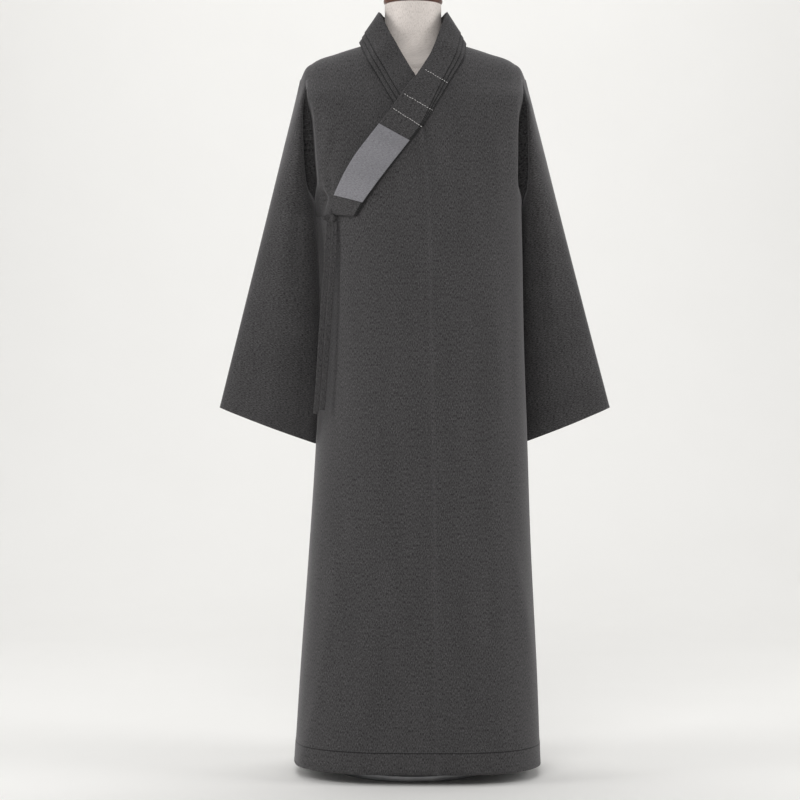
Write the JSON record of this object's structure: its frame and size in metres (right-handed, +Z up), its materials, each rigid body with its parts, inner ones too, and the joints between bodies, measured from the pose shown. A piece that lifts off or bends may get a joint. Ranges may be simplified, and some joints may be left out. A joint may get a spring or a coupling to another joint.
{
  "type": "buddhist monk robe on a dress form",
  "caption": "Long dark grey cross-collared monk's gown with wide sleeves, a wrapped front tied at the side and a light collar patch, worn by a limbless dress form on a low round stand.",
  "frame": {"origin": "middle of the stand base's underside, on the floor, on the pole's axis", "axes": "+Z up; -Y towards the front of the gown; +X towards the wearer's left, the right of the picture"},
  "size_m": [0.7251, 0.347, 1.429],
  "materials": {
    "cloth_grey": "matt fleece-backed cotton with a fine woven melange",
    "patch_grey": "matt light grey woven cotton",
    "linen": "plain woven linen cover",
    "dark_wood": "turned and satin varnished",
    "brushed_steel": "brushed"
  },
  "bodies": {
    "root": {"front_left": "cloth_grey", "back_left": "cloth_grey", "front_right": "cloth_grey", "back_right": "cloth_grey", "front_overlap": "cloth_grey", "front_underlap": "cloth_grey", "collar_lower": "cloth_grey", "collar_middle": "cloth_grey", "collar_top": "cloth_grey", "tie_knot": "cloth_grey", "tie_end_outer": "cloth_grey", "tie_end_inner": "cloth_grey", "collar_patch": "patch_grey", "form_torso": "linen", "neck_cap": "dark_wood", "stand_pole": "brushed_steel", "stand_base": "brushed_steel"}
  },
  "joints": []
}
